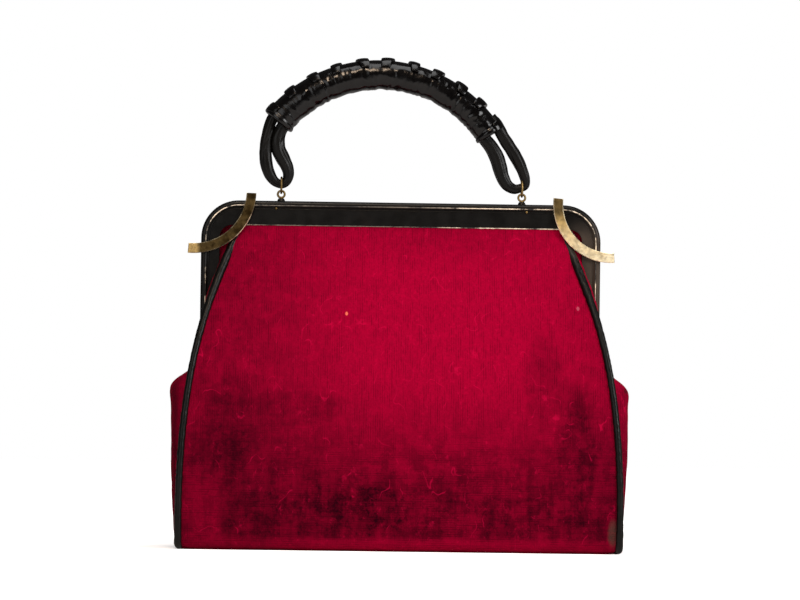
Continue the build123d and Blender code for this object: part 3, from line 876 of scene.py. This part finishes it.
@dataclass
class LiningTub:
    """Sides and floor of the lining, sewn to the two hanging sheets."""

    cloth: Finish
    side_inset: float = 4.6
    edge_inset: float = 7.5
    top: float = 98.0
    floor: float = 5.2
    half_x: float = 134.5
    half_y: float = 39.8
    thickness: float = 0.4

    def wall(self, side: Side) -> Piece:
        """One side of the lining, inside its gusset."""
        def place(u: float, v: float) -> tuple:
            z = self.top + (self.floor - self.top) * v
            share = 2 * u - 1
            seam = FORM.half_width(z) - self.edge_inset
            middle = SIDE_LINE.across_at(z) - self.side_inset
            x = between_seams(seam, middle, share)
            return side.value * x, share * (FRONT_LINE.across_at(z) - 3.0), z

        obj = grid_piece(f"{side.word}_lining_wall", 30, 40, place)
        turn_outward(obj, 0, side.value)
        return obj

    def build(self) -> None:
        """Builds both walls and the floor as one piece on the bag's body."""
        def place(u: float, v: float) -> tuple:
            x, y = (2 * u - 1) * self.half_x, (2 * v - 1) * self.half_y
            return x, y, self.floor + 0.35 * grain(x / 40, y / 30, 51.0)

        name = "lining_sides_and_floor"
        floor = grid_piece(name, 60, 20, place)
        turn_outward(floor, 2, -1)
        obj = join_pieces([floor, *(self.wall(side) for side in Side)], name)
        thicken(obj, self.thickness)
        register(obj, self.cloth, ["lining"], "bag_body")


@dataclass
class Gusset:
    """Velvet side of the bag with its round shoulder below the frame hinge."""

    side: Side
    velvet: Finish
    columns: int = 60
    rows: int = 110
    thickness: float = 1.6
    top: float = 115.6
    sag: float = 1.3
    sag_z: float = 103.0
    broad_wave: float = 0.9
    small_wave: float = 0.3

    def place(self, u: float, v: float) -> tuple:
        """Place of a point from its share across the side and down."""
        middle, z = SIDE_LINE.at(v)
        share = 2 * u - 1
        depth = FRONT_LINE.across_at(max(z, 3.0)) - 2.0 - 0.25 * max(0.0, 8 - z)
        y = share * depth
        seam = min(middle, FORM.half_width(z) - 1.6)
        x = between_seams(seam, middle + 0.7, share)
        seed = 31.0 + self.side.value
        wave = self.broad_wave * grain(y / 30, z / 45, seed) + self.small_wave * grain(y / 9, z / 12, seed)
        calm = (1 - share**4) * rise(z - 3, 8) * rise(self.top - z, 7)
        sag = self.sag * bell(z - self.sag_z, 9) * calm
        return self.side.value * (x + wave * calm + sag), y, z + 0.5 * sag

    def build(self) -> None:
        """Builds the gusset as a sheet with its real thickness."""
        obj = sheet_piece(f"{self.side.word}_velvet_gusset", self.columns, self.rows, self.place,
                          0, self.side.value, self.thickness)
        register(obj, self.velvet, [f"{self.side.word}_gusset"], "bag_body")


@dataclass
class Wing:
    """Narrow fold of gusset cloth between the piping and a frame leg, above the shoulder."""

    side: Side
    face: Face
    velvet: Finish
    columns: int = 16
    rows: int = 90
    top: float = 208.5
    bottom: float = 101.0
    thickness: float = 0.8
    hem: float = 2.4
    corner_x: float = 107.7
    corner_z: float = 198.4
    corner_radius: float = 10.0
    inner_depth: float = 1.6
    leg_x: float = 124.5
    leg_depth: float = 6.6
    leg_z: float = 183.0

    @property
    def bulge(self) -> float:
        """How far the fold stands out past the piping; the left one is drawn in tighter."""
        return 0.4 if self.side is Side.LEFT else 1.7

    def place(self, u: float, v: float) -> tuple:
        """Place of a point from its share from the piping to the leg and down."""
        z = self.top + (self.bottom - self.top) * v
        wide = FORM.half_width(z)
        depth = FRONT_LINE.across_at(z)
        bulge = self.bulge * (0.5 + 0.5 * min(1.0, 3 * v))
        bulge += 0.4 * grain(v * 9, 0.4, 2.0 * self.side.value + self.face.value)
        seam = np.array([wide - self.hem, depth - self.hem])
        over = rise(self.leg_z - z, 11)
        corner = math.sqrt(max(0.0, self.corner_radius**2 - max(0.0, z - self.corner_z) ** 2))
        inside = np.array([self.corner_x + corner, self.inner_depth])
        leg = over * np.array([min(self.leg_x, wide + 0.8), self.leg_depth]) + (1 - over) * inside
        crown = np.array([wide + 2.0 * bulge, seam[1] * 0.62 + leg[1] * 0.38])
        spot = (1 - u) ** 2 * seam + 2 * u * (1 - u) * crown + u**2 * leg
        return self.side.value * spot[0], self.face.value * spot[1], z

    def build(self) -> None:
        """Builds the fold, dresses it and bakes its transform into its mesh."""
        name = f"{self.face.word}_{self.side.word}"
        obj = sheet_piece(f"{name}_velvet_wing", self.columns, self.rows, self.place,
                          0, self.side.value, self.thickness)
        register(obj, self.velvet, [f"{name}_wing"], self.face)


@dataclass
class Piping:
    """Leather piping down one side edge of a face, wrapped under the base corner."""

    side: Side
    face: Face
    leather: Finish
    heights: tuple = (202.5, 196.5, 190, 182, 172, 158, 143, 126, 107, 86, 65, 44, 26, 13, 6.5)
    tail: tuple = ((0.1, 41.4, 3.4), (1.0, 37.8, 2.55), (3.4, 34.0, 2.5))
    rows: int = 220
    around: int = 16

    def line(self) -> SmoothLine:
        """Middle line of the piping, from under the corner arc to below the base corner."""
        radius = FORM.piping_radius
        points = []
        for z in self.heights:
            depth = FRONT_LINE.across_at(z) - 0.6
            if z > 193:
                depth = min(depth, 5.0 + 0.28 * (196 - z))
            elif z > 188:
                depth = min(depth, 7.4)
            points.append((self.side.value * (FORM.half_width(z) - radius * self.fuller(z)),
                           self.face.value * depth, z))
        corner = FORM.half_width(0) - radius
        for inset, depth, z in self.tail:
            points.append((self.side.value * (corner - inset), self.face.value * depth, z))
        return SmoothLine(points)

    def fuller(self, z: float) -> float:
        """How much fuller the piping is at a height; it is drawn thin along the lower bag."""
        return 0.92 + 0.34 / (1 + math.exp((158 - z) / 14)) + 0.1 * bell(z, 22)

    def build(self) -> None:
        """Builds the piping, dresses it and bakes its transform into its mesh."""
        line = self.line()
        seed = 7.0 * self.side.value + 3.0 * self.face.value

        def radius(angle: float, share: float) -> float:
            dents = 0.10 * grain(share * 55, math.cos(angle), seed)
            dents += 0.05 * grain(share * 160, math.sin(angle), seed)
            z = float(line.at(share)[2])
            pressed = 0.16 * bell(z - 203, 12)
            return FORM.piping_radius * (self.fuller(z) - pressed + dents)

        name = f"{self.face.word}_{self.side.word}"
        obj = tube_piece(f"{name}_leather_piping", self.around, self.rows, line, radius, up=(1.0, 0.0, 0.0))
        register(obj, self.leather, [f"{name}_piping", f"{name}_piping_top"], self.face)


@dataclass
class Handle:
    """Arched handle: a gathered leather sleeve laced along its top, with a leather loop at each end."""

    leather: Finish
    loop_leather: Finish
    centre: tuple = (-14.3, 219.3)
    radius: float = 84.2
    start: float = 33.4
    end: float = 141.0
    post_y: float = -3.6
    half_height: float = 9.2
    half_width: float = 7.9
    taper: float = 0.055
    gather_length: float = 5.6
    collar: float = 0.75
    lace_count: int = 11
    lace_margin: float = 2.6
    lace_length: float = 7.4
    lace_wrap: float = 118.0
    strand_radius: float = 3.75
    ring_x: float = 77.0
    ring_z: float = 233.0
    left_points: tuple = ((-79.5, 280.0), (-84.2, 273.0), (-86.4, 264.0), (-87.4, 255.0), (-86.9, 246.5),
                          (-84.9, 239.8), (-81.6, 234.9), (-77.2, 232.9), (-74.0, 234.6), (-72.6, 238.8),
                          (-73.4, 243.5), (-76.2, 249.2), (-79.2, 255.2), (-79.8, 261.5), (-77.6, 268.0),
                          (-72.5, 275.0))
    right_points: tuple = ((56.0, 277.5), (61.1, 271.5), (64.4, 265.5), (68.0, 260.0), (71.8, 254.2),
                           (75.4, 247.8), (77.9, 242.0), (79.1, 237.4), (78.7, 234.3), (76.4, 232.9),
                           (72.0, 232.0), (67.4, 234.6), (64.4, 239.9), (62.6, 245.8), (60.6, 252.0),
                           (57.2, 258.2), (53.0, 263.4), (48.5, 268.0))

    def arc_point(self, angle: float, away: float) -> tuple:
        """X and Z on the handle's arc at an angle in degrees, moved away from its middle line."""
        turn = math.radians(angle)
        reach = self.radius + away
        return self.centre[0] + reach * math.cos(turn), self.centre[1] + reach * math.sin(turn)

    def wrinkle(self, angle: float, mm_along: float) -> float:
        """Height of the gathers: deep on the underside, crumpled at the side, nearly none on top."""
        top, flank = math.cos(angle), math.sin(angle)
        under = 0.5 - 0.5 * top
        side = bell(abs(flank) - 0.95, 0.28)
        drift = 3.4 * grain(mm_along / 15, flank * 1.3, 4.0)
        drift += 1.6 * grain(mm_along / 5, flank, 8.0 + top)
        pitch = (mm_along + drift) / self.gather_length
        ridge = 1.0 - abs(grain(pitch, top * 0.45, 11.0, 1)) * 2.2
        fine = grain(mm_along / 3.4, top * 2.0, flank * 2.0 + 6.0, 3)
        broad = grain(mm_along / 12, top * 1.6, 23.0)
        gathers = (0.05 + 0.70 * under) * (0.75 * ridge - 0.45)
        return gathers + (0.03 + 0.15 * side) * fine + 0.35 * side * broad

    def sleeve(self) -> None:
        """Builds the gathered sleeve with a folded rim at each end."""
        length = math.radians(self.end - self.start) * self.radius

        def place(u: float, v: float) -> tuple:
            angle = 2 * math.pi * u
            mm_along = v * length
            rim = min(mm_along, length - mm_along)
            collar = self.collar / (1 + math.exp((rim - 3.4) * 3.5))
            tuck = max(0.0, 1.0 - rim / 0.9) ** 2 * 1.6
            seam = 0.55 * bell(math.sin(angle / 2) * 2, 0.28)
            bumps = self.wrinkle(angle, mm_along) * min(1.0, rim / 4.0)
            thick = 1.0 - self.taper * math.cos(math.pi * v)
            out = (self.half_height * thick + bumps + collar - tuck + seam) * math.cos(angle)
            wide = (self.half_width * thick + bumps + collar - tuck) * math.sin(angle)
            x, z = self.arc_point(self.start + (self.end - self.start) * v, out)
            return x, self.post_y + wide, z

        obj = grid_piece("laced_handle_sleeve", 56, 330, place)
        close_ends(obj)
        bpy.ops.mesh.inset(thickness=1.5 * MM, depth=-0.8 * MM)
        bpy.ops.object.mode_set(mode="OBJECT")
        finish_mesh(obj)
        register(obj, self.leather, ["handle_sleeve", "handle_padding"], "handle")

    def lacing(self) -> None:
        """Builds the thong's flat stitches over the seam, each a bent and rounded strap."""
        stitches = []
        for i in range(self.lace_count):
            span = self.end - self.start - 2 * self.lace_margin
            angle = self.start + self.lace_margin + span * i / (self.lace_count - 1)
            stitches.append(self.stitch(i, angle))
        obj = join_pieces(stitches, "handle_thong_lacing")
        bpy.ops.object.shade_smooth_by_angle(angle=math.radians(70))
        register(obj, self.leather, ["handle_lacing"], "handle")

    def stitch(self, index: int, angle: float) -> Piece:
        """One stitch of the thong across the seam.

        Args:
            index: Number of the stitch, which varies its size and turn.
            angle: Its place on the handle's arc, in degrees.

        Returns:
            The stitch in its place.
        """
        bpy.ops.object.select_all(action="DESELECT")
        bpy.ops.mesh.primitive_cube_add(size=1.0)
        obj = bpy.context.object
        edit_whole(obj)
        bpy.ops.mesh.subdivide(number_cuts=5)
        bpy.ops.object.mode_set(mode="OBJECT")
        long = self.lace_length + 1.2 * grain(index * 1.7, 0.3, 1.0)
        lean = 0.5 * (-1) ** index + 0.25 * grain(index * 2.3, 0.9, 2.0)
        centre_angle = math.radians(angle)
        for vertex in obj.data.vertices:
            a, b, c = vertex.co
            around = math.radians(self.lace_wrap) * b
            lift = 1.25 + 2.3 * c * (1 - 1.6 * b * b) + 0.35 * (1 - (2 * a) ** 2) - 12.0 * b**4
            over = (self.half_height + lift) * math.cos(around)
            across = (self.half_width + lift) * math.sin(around)
            along = long * a * (1.0 - 0.9 * b * b) + across * lean * 0.4
            turn = centre_angle + along / (self.radius + self.half_height)
            reach = self.radius + over
            x = self.centre[0] + reach * math.cos(turn)
            z = self.centre[1] + reach * math.sin(turn)
            vertex.co = Vector((x, self.post_y + across, z)) * MM
        finish_mesh(obj, smooth_angle=80)
        apply_modifier(obj, "SUBSURF", levels=1, render_levels=1)
        return obj

    def loop(self, side: Side) -> Piece:
        """One end loop of leather tube, pinched where it goes through its ring."""
        points = self.left_points if side is Side.LEFT else self.right_points
        line = SmoothLine([(x, self.post_y, z) for x, z in points])
        ring = np.array([self.ring_x * side.value, self.post_y, self.ring_z])

        def radius(angle: float, share: float) -> float:
            reach = float(np.linalg.norm(line.at(share) - ring))
            pinch = 1.25 * bell(reach, 9.0) - 0.75 * bell(share - 0.79, 0.13)
            turn = angle + 1.6 * grain(share * 2.2, 0.5, side.value * 5.0)
            crease = -0.5 * bell(math.sin(turn - 0.6), 0.16) - 0.35 * bell(math.sin(turn + 1.3), 0.14)
            dents = 0.22 * grain(share * 12, math.cos(angle) * 0.8, side.value * 3.0)
            flat = 0.35 * abs(math.sin(turn)) - 0.25 * abs(math.cos(turn))
            return self.strand_radius - pinch + crease + dents + flat

        return tube_piece(f"{side.word}_loop", 36, 190, line, radius)

    def build(self) -> None:
        """Builds the sleeve, the lacing and the loops, all on the handle's body."""
        self.sleeve()
        self.lacing()
        loops = join_pieces([self.loop(side) for side in Side], "handle_leather_loops")
        register(loops, self.loop_leather, ["handle_cord"], "handle")


@dataclass
class FrameEdges:
    """Thin cut and turned edges of the leather on the two frame halves."""

    leather: Finish
    edge: Finish
    corner: float = 24.0
    leg_bottom: float = 118.0
    rail_left: float = -99.0
    rail_right: float = 104.0
    rail_depth: float = 6.05
    rail_radius: float = 0.30
    cut_inset: float = 3.0
    cut_depth: float = 7.05
    cut_radius: float = 0.34
    turned_inset: float = 5.0
    turned_depth: float = 0.13
    turned_radius: float = 0.11
    uneven: float = 0.4

    def build(self) -> None:
        """Adds the edges along the bead, between the halves and under the rail."""
        for face in Face:
            cut_line = self.outline(face, self.cut_inset, self.cut_depth)
            turned_line = self.outline(face, self.turned_inset, self.turned_depth)
            depth, z = face.value * self.rail_depth, FORM.rail_bottom + 0.15
            rail_line = SmoothLine([(x, depth, z) for x in np.linspace(self.rail_left, self.rail_right, 12)])
            self.edging("cover_cut_edge", face, cut_line, self.cut_radius, self.uneven, self.edge)
            self.edging("cover_turned_edge", face, turned_line, self.turned_radius, 0.0, self.leather)
            self.edging("rail_lower_edge", face, rail_line, self.rail_radius, self.uneven, self.edge)

    def outline(self, face: Face, inset: float, depth: float) -> SmoothLine:
        """Line round the frame half, from leg to leg.

        Args:
            face: Front or back half.
            inset: Distance in from the frame's outer edge, in millimetres.
            depth: Distance from the middle of the bag.

        Returns:
            The line.
        """
        out = FORM.frame_half_width - inset
        top = FORM.frame_top - inset
        corner = self.corner - inset
        turns = np.radians((15, 30, 45, 60, 75))
        legs = np.linspace(self.leg_bottom, top - corner, 8)
        points = [(-out, z) for z in legs]
        points += [(corner - out - corner * math.cos(t), top - corner + corner * math.sin(t)) for t in turns]
        points += [(x, top) for x in np.linspace(corner - out, out - corner, 14)]
        points += [(out - corner + corner * math.sin(t), top - corner + corner * math.cos(t)) for t in turns]
        points += [(out, z) for z in legs[::-1]]
        return SmoothLine([(x, face.value * depth, z) for x, z in points], samples=24)

    def edging(self, name: str, face: Face, line: SmoothLine, thickness: float, uneven: float,
               finish: Finish) -> None:
        """Adds a thin edge of leather along a line on a frame half.

        Args:
            name: Name of the piece after its face.
            face: Front or back half, which it moves with.
            line: Its middle line.
            thickness: Its mean radius in millimetres.
            uneven: Share by which the radius changes along it.
            finish: Its finish.
        """
        def radius(angle: float, share: float) -> float:
            return thickness * (1 + uneven * grain(share * 110, 0.2, face.value * 2.0))

        obj = tube_piece(f"{face.word}_{name}", 8, 420, line, radius)
        register(obj, finish, (), face.body)


def dress_nodes(looks: Sequence[tuple]) -> None:
    """Gives each CAD node that stays in the model its finish.

    Args:
        looks: Words and a finish each; the first whose words are in a node's name counts.
    """
    for name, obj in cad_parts.items():
        fitting = [finish for words, finish in looks if any(word in name for word in words)]
        if fitting:
            dress(obj, fitting[0])


@dataclass
class Studio:
    """Plain pale floor, soft lights, pale world and the camera at the photograph's angle."""

    target: tuple = (0.0, 0.0, 0.160)
    distance: float = 3.0
    azimuth: float = -1.9
    elevation: float = -1.5
    roll: float = 0.79
    view_width: float = 0.5122
    sensor: float = 36.0
    world_light: float = 0.30
    world_gloss: float = 0.10
    floor_size: float = 12.0
    lamps: tuple = (("key_right", (1.25, -0.95, 0.75), 0.7, 21.0, "#FFFFFF"),
                    ("fill_left", (-0.9, -1.5, 0.75), 1.0, 9.0, "#FFFFFF"),
                    ("top", (0.1, -0.35, 1.5), 0.8, 11.0, "#FFFFFF"),
                    ("glint", (-0.10, -0.85, 1.08), 0.22, 6.5, "#FFE2C4"))

    def camera(self) -> None:
        """Adds the camera."""
        data = bpy.data.cameras.new("photo_camera")
        obj = bpy.data.objects.new("photo_camera", data)
        bpy.context.collection.objects.link(obj)
        turn, lift = math.radians(self.azimuth), math.radians(self.elevation)
        away = Vector((math.sin(turn) * math.cos(lift), -math.cos(turn) * math.cos(lift), math.sin(lift)))
        obj.location = Vector(self.target) + away * self.distance
        obj.rotation_euler = (-away).to_track_quat("-Z", "Y").to_euler()
        obj.rotation_euler.rotate_axis("Z", math.radians(self.roll))
        data.sensor_width = self.sensor
        data.lens = self.sensor * self.distance / self.view_width
        bpy.context.scene.camera = obj

    def light(self, name: str, place: tuple, size: float, power: float, colour: str) -> None:
        """Adds one soft square light that looks at the bag."""
        data = bpy.data.lights.new(name, "AREA")
        data.size = size
        data.energy = power
        data.color = linear(colour)[:3]
        obj = bpy.data.objects.new(name, data)
        bpy.context.collection.objects.link(obj)
        obj.location = place
        obj.rotation_euler = (Vector(self.target) - Vector(place)).to_track_quat("-Z", "Y").to_euler()

    def world(self) -> None:
        """Makes the world white to the camera, a soft grey as a light and darker in reflections."""
        world = bpy.data.worlds.new("pale_world")
        bpy.context.scene.world = world
        world.use_nodes = True
        tree = world.node_tree
        tree.nodes.clear()
        path = add_node(tree, "ShaderNodeLightPath")
        seen = add_node(tree, "ShaderNodeMath", {"operation": "MAXIMUM"},
                        {0: path.outputs["Is Camera Ray"], 1: path.outputs["Is Transmission Ray"]})
        dim = add_node(tree, "ShaderNodeMapRange", {"To Min": self.world_light, "To Max": self.world_gloss},
                       {"Value": path.outputs["Is Glossy Ray"]})
        strength = add_node(tree, "ShaderNodeMapRange", {"To Max": 1.0},
                            {"Value": seen.outputs[0], "To Min": dim.outputs[0]})
        back = add_node(tree, "ShaderNodeBackground", {"Color": (1.0, 1.0, 1.0, 1.0)},
                        {"Strength": strength.outputs[0]})
        add_node(tree, "ShaderNodeOutputWorld", links={"Surface": back.outputs[0]})

    def floor(self) -> None:
        """Adds the pale floor, which keeps the bag's shadow."""
        bpy.ops.object.select_all(action="DESELECT")
        bpy.ops.mesh.primitive_plane_add(size=self.floor_size, location=(0.0, 0.0, 0.0))
        obj = bpy.context.object
        obj.name = "pale_floor"
        dress(obj, PaleFloor())

    def build(self) -> None:
        """Builds the camera, the lights, the world and the floor."""
        bpy.context.scene.view_settings.view_transform = "Standard"
        self.camera()
        for lamp in self.lamps:
            self.light(*lamp)
        self.world()
        self.floor()


def main() -> None:
    """Builds the studio, then every piece of the bag in order."""
    logging.basicConfig(level=logging.INFO, format="%(name)s %(message)s")
    Studio().build()
    velvet = CrushedVelvet()
    leather = BlackLeather()
    glazed = PatentLeather()
    cloth = LiningCloth()
    dress_nodes(((("arc", "eye", "ring", "tack", "catch", "hinge_pin"), OldBrass()),
                 (("core",), PlainSteel()),
                 (("cover", "post", "tab"), leather),
                 (("base_board",), FibreBoard()),
                 (("base_panel",), velvet)))
    FrameEdges(leather, WornAndHighlitEdge()).build()
    LiningTub(cloth).build()
    for face in Face:
        VelvetFace(face, velvet).build()
        LiningFace(face, cloth).build()
        for side in Side:
            Wing(side, face, velvet).build()
            Piping(side, face, leather).build()
    for side in Side:
        Gusset(side, velvet).build()
    Handle(glazed, leather).build()


if __name__ == "__main__":
    main()
